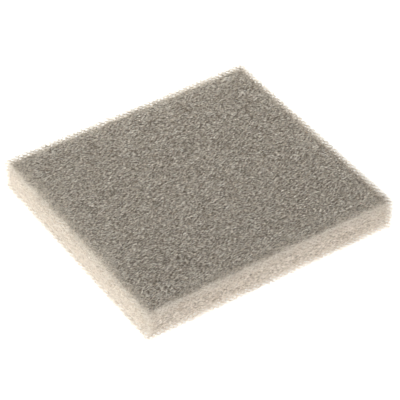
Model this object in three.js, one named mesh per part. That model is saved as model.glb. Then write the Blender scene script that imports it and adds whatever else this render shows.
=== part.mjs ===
// A flat pad of open-cell polyurethane foam, the air filter element of a small handheld engine.
// It is knife-cut from one sheet of foam, so it is a single solid piece: a rectangular slab whose
// edges are slightly softened, because the cut cells along them have loose ends.
// Millimetres, +Z up. The origin is the centre of the underside, X runs along the long side.

import * as THREE from "three";

const PAD_LENGTH = 75; // along X
const PAD_WIDTH = 67.5; // along Y
const PAD_THICKNESS = 9.5; // along Z, a standard 3/8 in sheet
const CORNER_RADIUS = 0.8; // of the four upright corners
const EDGE_ROUND = 0.3; // of the edges around the top face and the underside

const ARC_STEPS = 3; // each corner arc is drawn in twice this many straight pieces
const ROUND_STEPS = 3;

const FOAM_COLOUR = 0xb9ad9c; // warm pale grey

// The pad's plan, centred on the origin, with rounded corners.
function padOutline() {
  const x = PAD_LENGTH / 2 - CORNER_RADIUS;
  const y = PAD_WIDTH / 2 - CORNER_RADIUS;
  const quarter = Math.PI / 2;
  const outline = new THREE.Shape();
  outline.absarc(x, y, CORNER_RADIUS, 0, quarter);
  outline.absarc(-x, y, CORNER_RADIUS, quarter, 2 * quarter);
  outline.absarc(-x, -y, CORNER_RADIUS, 2 * quarter, 3 * quarter);
  outline.absarc(x, -y, CORNER_RADIUS, 3 * quarter, 4 * quarter);
  outline.closePath();
  return outline;
}

// The slab: the plan extruded through the sheet's thickness, its edges rounded inside the full size.
function slabGeometry() {
  const slab = new THREE.ExtrudeGeometry(padOutline(), {
    depth: PAD_THICKNESS - 2 * EDGE_ROUND,
    curveSegments: ARC_STEPS,
    bevelEnabled: true,
    bevelThickness: EDGE_ROUND,
    bevelSize: EDGE_ROUND,
    bevelOffset: -EDGE_ROUND,
    bevelSegments: ROUND_STEPS,
  });
  slab.translate(0, 0, EDGE_ROUND);
  return slab;
}

function foamMaterial() {
  return new THREE.MeshStandardMaterial({
    color: FOAM_COLOUR,
    roughness: 1,
    metalness: 0,
  });
}

const foamPad = new THREE.Mesh(slabGeometry(), foamMaterial());
foamPad.name = "foam_pad";

const airFilterPad = new THREE.Group();
airFilterPad.name = "air_filter_pad";
airFilterPad.add(foamPad);

export default airFilterPad;
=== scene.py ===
"""A flat pad of open-cell filter foam on a glowing white sweep, seen from above one corner.

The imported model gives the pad's box, and two meshes show the foam in it. The core is the cut surface of the
foam that looks solid: it is scattered with open cells, and each cell is a pit between thin ridges, with the
cut end of a strut standing up where three cells meet. The core's edges are rounded off far inside the box.
The fringe fills the space round them: a network of separate struts, which lets light through as the edges of
the foam do. Along the pad the cells are longer than they are wide. Lengths are in metres.
"""

import math
from collections import namedtuple

import bpy
import numpy as np
from mathutils import Euler, Matrix, Vector
from mathutils.geometry import delaunay_2d_cdt


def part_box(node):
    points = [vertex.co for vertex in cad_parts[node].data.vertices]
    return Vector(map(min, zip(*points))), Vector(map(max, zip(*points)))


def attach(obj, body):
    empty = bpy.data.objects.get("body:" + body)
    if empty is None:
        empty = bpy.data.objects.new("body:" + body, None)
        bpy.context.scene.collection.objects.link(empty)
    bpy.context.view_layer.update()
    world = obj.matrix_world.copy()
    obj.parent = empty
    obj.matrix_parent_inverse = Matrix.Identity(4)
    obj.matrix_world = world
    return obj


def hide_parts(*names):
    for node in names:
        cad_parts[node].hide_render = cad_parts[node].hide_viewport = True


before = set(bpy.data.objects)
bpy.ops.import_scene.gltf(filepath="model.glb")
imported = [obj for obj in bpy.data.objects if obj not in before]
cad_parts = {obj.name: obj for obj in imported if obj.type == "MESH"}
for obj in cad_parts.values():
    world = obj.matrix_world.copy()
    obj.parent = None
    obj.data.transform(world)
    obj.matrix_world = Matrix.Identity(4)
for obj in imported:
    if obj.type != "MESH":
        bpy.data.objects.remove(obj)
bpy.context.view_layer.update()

MM = 0.001

# The foam's cut surface.
CELL = np.array((1.6, 0.54, 0.62)) * MM  # the cells' spacing along the pad, across it and up
CELL_JITTER = 0.5  # how far a cell strays from the regular grid, as a share of the spacing
EDGE_JITTER = 0.4  # the same for the cells on an edge of the box
EDGE_CLEARANCE = 0.5  # cells from an edge of the box to the nearest centre on a face
ROW_STEP = math.sqrt(0.75)  # between the rows of a hexagonal grid
SAME_POINT = 1e-6  # cells apart at which two points would count as one
SHALLOW_PIT = 0.15 * MM
DEEP_PIT = 0.45 * MM
SADDLE_DEPTH = 0.25 * MM  # how far a ridge may sink between two strut ends
TIP_DEPTH = 0.15 * MM  # how far a strut end may lie below the cut

# The tones of the foam, from 0 for the darkest to 1 for the palest. A kind of face has a middle tone for its
# cut surface and one for the struts in front of it. These are painted shade on the top and painted light on
# the sides, for one and the same foam, and the sides' weaker grain is painted light too. Round them, the
# relief shade paints pits darker and ridges and strut ends paler, blocks of struts differ at random by the
# patches, and the finest grain comes from the streaks. Along the edges the tone is raised by painted light,
# for the light that comes through from both sides. The underside takes the top's painted shade.
GrainAndShade = namedtuple("GrainAndShade", "middle strut relief patches streaks glow")
TOP_SHADED = GrainAndShade(middle=0.34, strut=0.4, relief=0.1, patches=0.9, streaks=3.5, glow=1.0)
SIDE_LIT = GrainAndShade(middle=0.48, strut=0.88, relief=0.2, patches=0.6, streaks=1.7, glow=0.6)
PAINTED_LIGHT_REACH = 1.9 * MM  # over which the painted light along the edges falls to a third
STRUT_PAINTED_LIGHT = 0.6  # share of the painted light along the edges that the struts show

# The painted relief shade of a kind of point: its shade where the amount is 0, how far that changes where the
# amount is 1, and the power that makes a large change rare. In a pit the amount grows with the depth, so
# deeper pits get darker painted shade; ridges and strut ends get paler painted light, by a random amount.
Relief = namedtuple("Relief", "start span power")
PIT_SHADE = Relief(start=-0.1, span=-0.25, power=1)
RIDGE_LIGHT = Relief(start=-0.23, span=0.7, power=1.5)
TIP_LIGHT = Relief(start=-0.18, span=0.85, power=2)

# The open fringe.
FRINGE = 4.0 * MM  # radius to which the core is rounded inside the square edges
LATTICE = np.array((1.55, 0.82, 0.82)) * MM  # size of the repeating block of two cells in the strut network
LATTICE_STEPS = 4  # of a fine grid to the block, on which its nodes lie
LATTICE_TURN = (0.15, 0.2, 0.5)  # radians about X, Y and Z
NODE_JITTER = 0.14  # as a share of the block
STRUT_WIDTH = 0.16 * MM  # at its ends
WIDTH_SPREAD = 0.25  # how much the widths differ, as a share of the width
EDGE_WIDTH = 0.6  # the width on an edge of the box, as a share of the full width
WIDTH_REACH = 1.2 * MM  # over which that lack of width falls to a third
SHORTEST_STRUT = 0.1 * MM  # of those cut off by the box
LEAST_SHOWING = 0.1 * MM  # how far a strut reaches out of the core
NIBBLE = 0.1 * MM  # distance from an edge at which a third of the struts are torn away
TOP_SHARE = 0.6  # of the distance to a side: struts nearer than this to the top or underside take the top's painted shade, the others the sides' painted light

# A strut's four faces, as places on a strip that runs round its corners: 0 1 2 3 0 1.
STRUT_STRIP = np.array([(0, 1, 2), (5, 4, 3), (2, 3, 4), (3, 2, 1)])
STRUT_CORNERS = 4

# The finest grain: streaks of struts that lie in the cut.
STREAK = np.array((0.85, 0.13, 0.13)) * MM
STREAK_HEIGHT = 0.04 * MM  # of the palest streaks above the darkest
FOAM_COLOURS = ((0.22, 0.188, 0.149, 1), (0.73, 0.645, 0.56, 1), (0.95, 0.895, 0.815, 1))  # dark to pale
MIDDLE_STOP = 0.7  # the tone of the colour in the middle
DARK_ROUGHNESS = 0.75  # of the dark streaks
PALE_ROUGHNESS = 0.5

# The flat layout of each mesh, onto which its colours can be baked.
LAYOUT_NAME = "OFBake"
LAYOUT_GAP = 1 * MM
STRIP_SHARE = 0.8  # of its square that a strut's strip fills

# The camera, as an orbit round the middle of the pad.
CAMERA_AZIMUTH = -35.47
CAMERA_ELEVATION = 41.94
CAMERA_ROLL = 1.616
CAMERA_DISTANCE = 6.73  # in pad lengths
CAMERA_RIGHT = 0.0094  # sideways offset, in pad lengths
CAMERA_UP = -0.0225
LENS = 176.9  # mm
SENSOR = 36  # mm

# The surroundings.
FLOOR_HALF_WIDTH = 5.0
FLOOR_COLOUR = (0.9, 0.9, 0.9, 1)
FLOOR_GLOW_COLOUR = (1, 0.98, 0.95, 1)
FLOOR_GLOW = 0.8
HORIZON_COLOUR = (1.65, 1.59, 1.55, 1)
HORIZON_TOP = 0.15  # rise of the view direction, where 1 is straight up
OVERHEAD_COLOUR = (0.17, 0.17, 0.17, 1)
OVERHEAD_START = 0.4
KEY_PLACE = (-0.6, -0.1, 0.18)
BACK_PLACE = (0.12, 0.25, 0.1)

rng = np.random.default_rng(7)


# ---------------------------------------------------------------- the core's cut surface

def edge_points(start, end):
    """Points along a box edge, about a cell apart, without its two ends."""
    count = max(1, round(np.abs((end - start) / CELL).sum()))
    stray = rng.uniform(-EDGE_JITTER, EDGE_JITTER, count - 1)
    steps = (np.arange(1, count) + stray) / count
    return start + steps[:, None] * (end - start)


def scatter(size):
    """Cell centres on a face, in cells: a hexagonal grid shaken by the jitter, clear of the face's edges."""
    columns, rows = np.ceil(size / (1, ROW_STEP)).astype(int) + 1
    row, column = np.mgrid[0:rows, 0:columns]
    x = column + 0.5 * (row % 2)  # every other row is shifted by half a cell
    y = row * ROW_STEP
    grid = np.stack([x.ravel(), y.ravel()], 1)
    grid += rng.uniform(-CELL_JITTER, CELL_JITTER, grid.shape)
    inside = (grid > EDGE_CLEARANCE).all(1) & (grid < size - EDGE_CLEARANCE).all(1)
    return grid[inside]


class Surface:
    """The cut surface while it is made, on the box with its square edges. Each point has the depth at which
    it will lie, its tone and the strength of its streaks. Each face has its place in the flat layout."""

    def __init__(self, low, high):
        self.low = low
        self.high = high
        self.grain_and_shade = SIDE_LIT
        self.points = []
        self.depth = []
        self.tone = []
        self.streaks = []
        self.faces = []
        self.layout = []

    def add(self, points, depth, relief, amount):
        """Adds points with the current grain and painted shade. The amount runs from 0 to 1 through the
        painted relief shade.
        """
        first = len(self.points)
        self.points.extend(points)
        self.depth.extend(depth)
        # painted relief shade: darker in deeper pits, paler on ridges and strut ends
        shade = relief.start + relief.span * amount ** relief.power
        # painted light along the edges, for light that comes through from both sides
        glow = self.grain_and_shade.glow * rim(np.array(points), self.low, self.high)
        self.tone.extend(self.grain_and_shade.middle + self.grain_and_shade.relief * shade + glow)
        self.streaks.extend([self.grain_and_shade.streaks] * len(points))
        return np.arange(first, len(self.points))

    def add_pits(self, points):
        low = rng.uniform(0, 1, len(points))
        depth = SHALLOW_PIT + low * (DEEP_PIT - SHALLOW_PIT)
        return self.add(points, depth, PIT_SHADE, low)

    def add_tips(self, points):
        depth = TIP_DEPTH * rng.uniform(0, 1, len(points))
        return self.add(points, depth, TIP_LIGHT, rng.uniform(0, 1, len(points)))

    def add_saddle(self, point):
        depth = SADDLE_DEPTH * rng.uniform(0, 1, 1)
        return self.add([point], depth, RIDGE_LIGHT, rng.uniform(0, 1, 1))[0]

    def corner(self, corner):
        return np.where(np.array(corner), self.high, self.low)


def build_edges(surface):
    """The cells on the 8 corners and along the 12 edges, shared by the faces that meet there."""
    corners = {}
    for corner in np.ndindex(2, 2, 2):
        corners[corner] = surface.add_pits([surface.corner(corner)])[0]
    edges = {}
    for corner in np.ndindex(2, 2, 2):
        for axis in range(3):
            if corner[axis]:
                continue
            other = tuple(1 if i == axis else c for i, c in enumerate(corner))
            between = surface.add_pits(edge_points(surface.corner(corner), surface.corner(other)))
            edges[corner, other] = [corners[corner], *between, corners[other]]
    return edges


def face_outline(edges, axes, side):
    """The point numbers round one face, in order."""
    normal_axis, u_axis, v_axis = axes
    loop = []
    around = [(0, 0), (1, 0), (1, 1), (0, 1)]
    for start, end in zip(around, around[1:] + around[:1]):
        ends = []
        for u, v in (start, end):
            corner = [0, 0, 0]
            corner[normal_axis] = side
            corner[u_axis] = u
            corner[v_axis] = v
            ends.append(tuple(corner))
        a, b = ends
        run = edges[a, b] if (a, b) in edges else edges[b, a][::-1]
        loop.extend(run[:-1])
    return loop


def triangulate(flat, outline_count):
    """Triangles between the points of one face, given in cells, all of them anticlockwise."""
    ring = [(i, (i + 1) % outline_count) for i in range(outline_count)]
    found = delaunay_2d_cdt([Vector(p) for p in flat], ring, [], 0, SAME_POINT)
    source = [origin[0] for origin in found[3]]
    triangles = np.array([[source[i] for i in face] for face in found[2]])
    a, b, c = (flat[triangles[:, k]] for k in range(3))
    turn = (b - a)[:, 0] * (c - a)[:, 1] - (b - a)[:, 1] * (c - a)[:, 0]
    triangles[turn < 0] = triangles[turn < 0][:, ::-1]
    return triangles


def chart_corner(size, normal_axis, side):
    """Where the layout of one face starts: top and underside one above the other, the sides beside them."""
    length, width, height = size
    shift = side * (height + LAYOUT_GAP)
    if normal_axis == 0:
        return length + LAYOUT_GAP, length + LAYOUT_GAP + shift
    if normal_axis == 1:
        return length + LAYOUT_GAP + shift, 0
    return 0, side * (width + LAYOUT_GAP)


def build_face(surface, edges, rims, normal_axis, side, fine):
    """One face of the box, cut into cells. The fine faces also have a low point on every ridge. The rims
    hold such points on the box's edges, where two faces share them."""
    # The top and underside take the darker painted shade, the sides the paler painted light.
    surface.grain_and_shade = TOP_SHADED if normal_axis == 2 else SIDE_LIT
    size = surface.high - surface.low
    across = [(normal_axis + 1) % 3, (normal_axis + 2) % 3]
    outline = face_outline(edges, (normal_axis, *across), side)
    centres = scatter((size / CELL)[across])
    placed = np.empty((len(centres), 3))
    placed[:, across] = surface.low[across] + centres * CELL[across]
    placed[:, normal_axis] = surface.high[normal_axis] if side else surface.low[normal_axis]

    ids = np.array(outline + list(surface.add_pits(placed)))
    where = np.array([surface.points[i] for i in ids])
    triangles = triangulate((where / CELL)[:, across], len(outline))
    if not side:
        triangles = triangles[:, ::-1]
    corners = ids[triangles]
    tips_at = where[triangles].mean(1)
    tips = surface.add_tips(tips_at)

    owners = {}
    for number, triangle in enumerate(corners):
        for k in range(3):
            owners.setdefault(frozenset((triangle[k], triangle[k - 1])), []).append(number)
    saddles = {}
    for pair, both in owners.items():
        if len(both) == 1:
            if pair not in rims:
                rims[pair] = surface.add_saddle(sum(surface.points[i] for i in pair) / 2)
            saddles[pair] = rims[pair]
        elif fine:
            saddles[pair] = surface.add_saddle(tips_at[both].mean(0))

    first = len(surface.faces)
    for number, triangle in enumerate(corners):
        for k in range(3):
            q = triangle[k]
            p = triangle[k - 1]
            pair = frozenset((p, q))
            if pair in saddles:
                surface.faces.append((p, saddles[pair], tips[number]))
                surface.faces.append((saddles[pair], q, tips[number]))
            else:
                other = sum(owners[pair]) - number
                surface.faces.append((p, tips[other], tips[number]))
    on_face = np.array(surface.points)[np.array(surface.faces[first:])] - surface.low
    surface.layout.extend(chart_corner(size, normal_axis, side) + on_face[..., across])


def rounded(points, low, high, radius):
    """The points of the square box moved onto the box with round edges inside it, and the way out at each."""
    inner = np.clip(points, low + radius, high - radius)
    out = points - inner
    out /= np.linalg.norm(out, axis=1)[:, None]
    return inner + radius * out, out


def edge_distance(points, low, high):
    """How far points lie from the box's nearest edge, measured along its faces."""
    to_faces = np.sort(np.minimum(points - low, high - points), axis=-1)
    return to_faces[..., 1].clip(0)


def rim(points, low, high):
    """How strongly the painted light along the edges is felt, from 1 on an edge to 0 far from it."""
    return np.exp(-edge_distance(points, low, high) / PAINTED_LIGHT_REACH)


def core_geometry(low, high):
    """The cut surface, pressed in from the square box to the rounded one and from there to its depth."""
    surface = Surface(low, high)
    edges = build_edges(surface)
    rims = {}
    for normal_axis in range(3):
        for side in (0, 1):
            underside = normal_axis == 2 and side == 0
            build_face(surface, edges, rims, normal_axis, side, fine=not underside)
    points, out = rounded(np.array(surface.points), low, high, FRINGE)
    points -= out * np.array(surface.depth)[:, None]
    length, width, height = high - low
    layout = np.array(surface.layout) / (length + LAYOUT_GAP + width)
    return points, np.array(surface.faces), surface.tone, surface.streaks, layout


# ---------------------------------------------------------------- the open fringe of struts

def is_node(place):
    """Whether points of the fine grid are nodes of the network: one coordinate is odd, and the other two
    are even and differ by half a block."""
    odd = place % 2
    even_sum = (place * (1 - odd)).sum(-1)
    return (odd.sum(-1) == 1) & (even_sum % LATTICE_STEPS == LATTICE_STEPS // 2)


def lattice_block():
    """The 12 nodes in one block of the lattice, and its 24 struts: each goes from one of these nodes to
    another in the same block or in the neighbour that the shift names."""
    grid = np.stack(np.indices((LATTICE_STEPS,) * 3), -1).reshape(-1, 3)
    nodes = grid[is_node(grid)]
    struts = []
    for start, node in enumerate(nodes):
        for offset in ((1, 1, 0), (1, -1, 0), (1, 0, 1), (1, 0, -1), (0, 1, 1), (0, 1, -1)):
            reached = node + offset
            if is_node(reached):
                shift, place = np.divmod(reached, LATTICE_STEPS)
                end = int(np.flatnonzero((nodes == place).all(1))[0])
                struts.append((start, end, tuple(shift)))
    return nodes / LATTICE_STEPS, struts


def outside_core(points, low, high):
    """How far points lie outside the rounded core."""
    inner = np.clip(points, low + FRINGE, high - FRINGE)
    return np.linalg.norm(points - inner, axis=-1) - FRINGE


def network(low, high):
    """The nodes of a shaken foam network round the core, turned so that its layers do not line up with the
    box, and the two node numbers and a random shade of each strut. Struts of one block share their shade."""
    turn = np.array(Euler(LATTICE_TURN).to_matrix())
    middle = (low + high) / 2
    reach = np.abs(turn).T @ ((high - middle) / LATTICE)
    half = np.ceil(reach).astype(int) + 1
    block_nodes, block_struts = lattice_block()
    blocks = np.stack(np.indices(2 * half), -1)
    place = blocks[..., None, :] + block_nodes - half
    place += rng.uniform(-NODE_JITTER, NODE_JITTER, place.shape)
    place = middle + (place @ turn.T) * LATTICE

    at = place.mean(-2)
    near = outside_core(at, low, high) > -LATTICE.max()
    near &= (at > low - LATTICE).all(-1) & (at < high + LATTICE).all(-1)
    for axis in range(3):
        np.moveaxis(near, axis, 0)[[0, -1]] = False  # the outermost blocks lack a neighbour to join
    x, y, z = np.nonzero(near)
    number = np.arange(place[..., 0].size).reshape(place.shape[:-1])
    pairs = [
        np.stack([number[x, y, z, start], number[x + i, y + j, z + k, end]], 1)
        for start, end, (i, j, k) in block_struts
    ]
    shade = rng.uniform(0, 1, len(x))
    return place.reshape(-1, 3), np.concatenate(pairs), np.tile(shade, len(block_struts))


def joined_to_core(nodes, pairs, low, high):
    """Which struts hang on the core, directly or through others that meet at nodes inside the box."""
    inside = ((nodes > low) & (nodes < high)).all(1)
    held = inside & (outside_core(nodes, low, high) < 0)
    while True:
        joined = held[pairs].any(1)
        reached = held.copy()
        reached[pairs[joined]] = True
        reached &= inside
        if (reached == held).all():
            return joined
        held = reached


def clip_to_box(ends, low, high):
    """The struts cut off where they leave the box."""
    start = ends[:, 0]
    along = ends[:, 1] - start
    to_low = (low - start) / along
    to_high = (high - start) / along
    enter = np.minimum(to_low, to_high).max(1).clip(0)
    leave = np.maximum(to_low, to_high).min(1).clip(max=1)
    return np.stack([start + enter[:, None] * along, start + leave[:, None] * along], 1)


def fringe_struts(low, high):
    """The two ends of each strut of the fringe, and its shade. These struts lie outside the core and hang on
    it, and the nearer they are to an edge, the more of them are torn away."""
    nodes, pairs, shade = network(low, high)
    torn = np.exp(-edge_distance(nodes[pairs].mean(1), low, high) / NIBBLE)
    whole = rng.uniform(0, 1, len(pairs)) > torn
    pairs = pairs[whole]
    shade = shade[whole]
    joined = joined_to_core(nodes, pairs, low, high)
    ends = clip_to_box(nodes[pairs[joined]], low, high)
    length = np.linalg.norm(ends[:, 1] - ends[:, 0], axis=1)
    shows = outside_core(ends, low, high).max(1) > LEAST_SHOWING
    kept = shows & (length > SHORTEST_STRUT)
    return ends[kept], shade[joined][kept]


def strut_points(ends, low, high):
    """The four corners of each strut: a wide edge at either end, crosswise to each other. Near the box's
    edges the struts are slimmer, so that the foam fades out there."""
    start = ends[:, 0]
    end = ends[:, 1]
    along = end - start
    across = np.cross(along, rng.normal(size=along.shape))  # a random way across the strut
    across /= np.linalg.norm(across, axis=1)[:, None]
    third = np.cross(along, across) / np.linalg.norm(along, axis=1)[:, None]
    fading = np.exp(-edge_distance(ends.mean(1), low, high) / WIDTH_REACH)
    width = STRUT_WIDTH * (1 - (1 - EDGE_WIDTH) * fading[:, None])
    half = width / 2 * rng.uniform(1 - WIDTH_SPREAD, 1 + WIDTH_SPREAD, (len(ends), 1))
    corners = [start - half * across, start + half * across, end - half * third, end + half * third]
    return np.stack(corners, 1)


def strut_layout(count):
    """A square of the flat layout for each strut, with its strip of faces inside."""
    row_length = math.ceil(math.sqrt(count))
    row, column = np.divmod(np.arange(count), row_length)
    square = np.stack([column, row], 1)
    strip = np.stack([STRUT_STRIP / STRUT_STRIP.max(), STRUT_STRIP % 2], -1)
    margin = (1 - STRIP_SHARE) / 2
    return (square[:, None, None] + margin + STRIP_SHARE * strip) / row_length


def fringe_geometry(low, high):
    """A slim four-faced solid for each strut of the fringe."""
    ends, shade = fringe_struts(low, high)
    points = strut_points(ends, low, high).reshape(-1, 3).clip(low, high)
    faces = np.arange(len(ends))[:, None, None] * STRUT_CORNERS + STRUT_STRIP % STRUT_CORNERS

    middle = ends.mean(1)
    to_face = np.minimum(middle - low, high - middle)
    near_top = to_face[:, 2] < TOP_SHARE * to_face[:, :2].min(1)
    # Struts near the top or underside take the top's painted shade, the others the sides' painted light.
    grain_and_shade = GrainAndShade(*np.where(near_top[:, None], TOP_SHADED, SIDE_LIT).T)
    # the painted light along the edges, on the struts too
    glow = STRUT_PAINTED_LIGHT * grain_and_shade.glow * rim(middle, low, high)
    tone = grain_and_shade.strut + grain_and_shade.patches * (shade - 0.5) + glow
    tone = np.repeat(tone, STRUT_CORNERS)
    streaks = np.repeat(grain_and_shade.streaks, STRUT_CORNERS)
    layout = strut_layout(len(ends)).reshape(-1, 3, 2)
    return points, faces.reshape(-1, 3), tone, streaks, layout


# ---------------------------------------------------------------- pieces

def make_piece(name, points, faces, tone, streaks, layout):
    mesh = bpy.data.meshes.new(name)
    mesh.from_pydata(points.tolist(), [], faces.tolist())
    for attribute, values in (("tone", tone), ("streaks", streaks)):
        made = mesh.attributes.new(attribute, "FLOAT", "POINT")
        made.data.foreach_set("value", np.asarray(values, np.float32))
    mesh.uv_layers.new(name=LAYOUT_NAME).data.foreach_set("uv", layout.ravel())
    piece = bpy.data.objects.new(name, mesh)
    bpy.context.scene.collection.objects.link(piece)
    return piece


# ---------------------------------------------------------------- materials

def streak_noise(nodes, links):
    """A value of about 0 to 1 that varies in streaks along the pad."""
    coordinates = nodes.new("ShaderNodeTexCoord")
    stretch = nodes.new("ShaderNodeMapping")
    stretch.inputs["Scale"].default_value = [1 / size for size in STREAK]
    links.new(coordinates.outputs["Object"], stretch.inputs["Vector"])
    noise = nodes.new("ShaderNodeTexNoise")
    noise.inputs["Scale"].default_value = 1
    noise.inputs["Detail"].default_value = 0
    links.new(stretch.outputs["Vector"], noise.inputs["Vector"])
    return noise.outputs["Fac"]


def streaked_tone(nodes, links, noise):
    """The tone of the place, with the streaks in the strength that the place has."""
    tone = nodes.new("ShaderNodeAttribute")
    tone.attribute_name = "tone"
    strength = nodes.new("ShaderNodeAttribute")
    strength.attribute_name = "streaks"
    centred = nodes.new("ShaderNodeMath")
    centred.operation = "SUBTRACT"
    centred.inputs[1].default_value = 0.5  # the middle of the noise
    links.new(noise, centred.inputs[0])
    mixed = nodes.new("ShaderNodeMath")
    mixed.operation = "MULTIPLY_ADD"
    links.new(centred.outputs["Value"], mixed.inputs[0])
    links.new(strength.outputs["Fac"], mixed.inputs[1])
    links.new(tone.outputs["Fac"], mixed.inputs[2])
    return mixed.outputs["Value"]


def foam_material():
    """Foam in its tone, with fine streaks where struts lie in the cut: paler, smoother and a bit raised."""
    material = bpy.data.materials.new("open_cell_foam")
    material.use_nodes = True
    nodes = material.node_tree.nodes
    links = material.node_tree.links
    shader = nodes["Principled BSDF"]
    noise = streak_noise(nodes, links)

    # The tone holds painted shade and light of the faces, pits, ridges and edges, besides the foam's grain.
    ramp = nodes.new("ShaderNodeValToRGB")
    stops = ramp.color_ramp.elements
    stops.new(MIDDLE_STOP)
    for stop, colour in zip(stops, FOAM_COLOURS):
        stop.color = colour
    links.new(streaked_tone(nodes, links, noise), ramp.inputs["Fac"])
    links.new(ramp.outputs["Color"], shader.inputs["Base Color"])

    roughness = nodes.new("ShaderNodeMapRange")
    roughness.inputs["To Min"].default_value = DARK_ROUGHNESS
    roughness.inputs["To Max"].default_value = PALE_ROUGHNESS
    links.new(noise, roughness.inputs["Value"])
    links.new(roughness.outputs["Result"], shader.inputs["Roughness"])

    bump = nodes.new("ShaderNodeBump")
    bump.inputs["Distance"].default_value = STREAK_HEIGHT
    links.new(noise, bump.inputs["Height"])
    links.new(bump.outputs["Normal"], shader.inputs["Normal"])

    shader.inputs["Subsurface Weight"].default_value = 0.4
    shader.inputs["Subsurface Radius"].default_value = (1.0, 0.93, 0.85)
    shader.inputs["Subsurface Scale"].default_value = 0.5 * MM
    return material


def floor_material():
    material = bpy.data.materials.new("white_sweep")
    material.use_nodes = True
    shader = material.node_tree.nodes["Principled BSDF"]
    shader.inputs["Base Color"].default_value = FLOOR_COLOUR
    shader.inputs["Roughness"].default_value = 0.9
    shader.inputs["Emission Color"].default_value = FLOOR_GLOW_COLOUR
    shader.inputs["Emission Strength"].default_value = FLOOR_GLOW
    return material


# ---------------------------------------------------------------- stage, lights, camera

def floor(half_width, z):
    corners = [(x * half_width, y * half_width, z) for x, y in ((-1, -1), (1, -1), (1, 1), (-1, 1))]
    mesh = bpy.data.meshes.new("floor")
    mesh.from_pydata(corners, [], [(0, 1, 2, 3)])
    mesh.materials.append(floor_material())
    made = bpy.data.objects.new("floor", mesh)
    bpy.context.scene.collection.objects.link(made)


def sky():
    """A pale surround that is bright at the horizon and dimmer overhead."""
    world = bpy.data.worlds.new("surround")
    bpy.context.scene.world = world
    world.use_nodes = True
    nodes = world.node_tree.nodes
    links = world.node_tree.links
    coordinates = nodes.new("ShaderNodeTexCoord")
    split = nodes.new("ShaderNodeSeparateXYZ")
    ramp = nodes.new("ShaderNodeValToRGB")
    horizon, overhead = ramp.color_ramp.elements
    horizon.color = HORIZON_COLOUR
    horizon.position = HORIZON_TOP
    overhead.color = OVERHEAD_COLOUR
    overhead.position = OVERHEAD_START
    links.new(coordinates.outputs["Generated"], split.inputs[0])
    links.new(split.outputs["Z"], ramp.inputs["Fac"])
    links.new(ramp.outputs["Color"], nodes["Background"].inputs["Color"])


def softbox(name, place, target, size, power, colour):
    data = bpy.data.lights.new(name, "AREA")
    data.shape = "SQUARE"
    data.size = size
    data.energy = power
    data.color = colour
    lamp = bpy.data.objects.new(name, data)
    bpy.context.scene.collection.objects.link(lamp)
    lamp.location = place
    lamp.rotation_mode = "QUATERNION"
    lamp.rotation_quaternion = (Vector(target) - Vector(place)).to_track_quat("-Z", "Y")


def camera(centre, length):
    azimuth = math.radians(CAMERA_AZIMUTH)
    elevation = math.radians(CAMERA_ELEVATION)
    back = Vector((
        math.sin(azimuth) * math.cos(elevation),
        -math.cos(azimuth) * math.cos(elevation),
        math.sin(elevation),
    ))
    right = Vector((math.cos(azimuth), math.sin(azimuth), 0))
    up = back.cross(right)
    turn = Matrix.Rotation(math.radians(CAMERA_ROLL), 3, back)
    right = turn @ right
    up = turn @ up
    data = bpy.data.cameras.new("camera")
    data.sensor_width = SENSOR
    data.lens = LENS
    data.clip_start = 0.01
    data.clip_end = 20
    made = bpy.data.objects.new("camera", data)
    bpy.context.scene.collection.objects.link(made)
    offset = back * CAMERA_DISTANCE + right * CAMERA_RIGHT + up * CAMERA_UP
    place = Matrix((right, up, back)).transposed().to_4x4()
    place.translation = centre + offset * length
    made.matrix_world = place
    bpy.context.scene.camera = made


pad_low, pad_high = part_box("foam_pad")
pad_centre = (pad_low + pad_high) / 2
camera(pad_centre, pad_high.x - pad_low.x)

foam = foam_material()
low = np.array(pad_low)
high = np.array(pad_high)
core = make_piece("filter_pad", *core_geometry(low, high))
fringe = make_piece("edge_struts", *fringe_geometry(low, high))
for piece in (core, fringe):
    piece.data.materials.append(foam)
    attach(piece, "root")
    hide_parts("foam_pad")

floor(FLOOR_HALF_WIDTH, pad_low.z)
sky()
softbox("key", KEY_PLACE, pad_centre, size=0.5, power=2.3, colour=(0.98, 1.0, 0.96))
softbox("back", BACK_PLACE, pad_centre, size=0.15, power=0.65, colour=(1.0, 1.0, 0.92))

bpy.context.scene.view_settings.view_transform = "Standard"
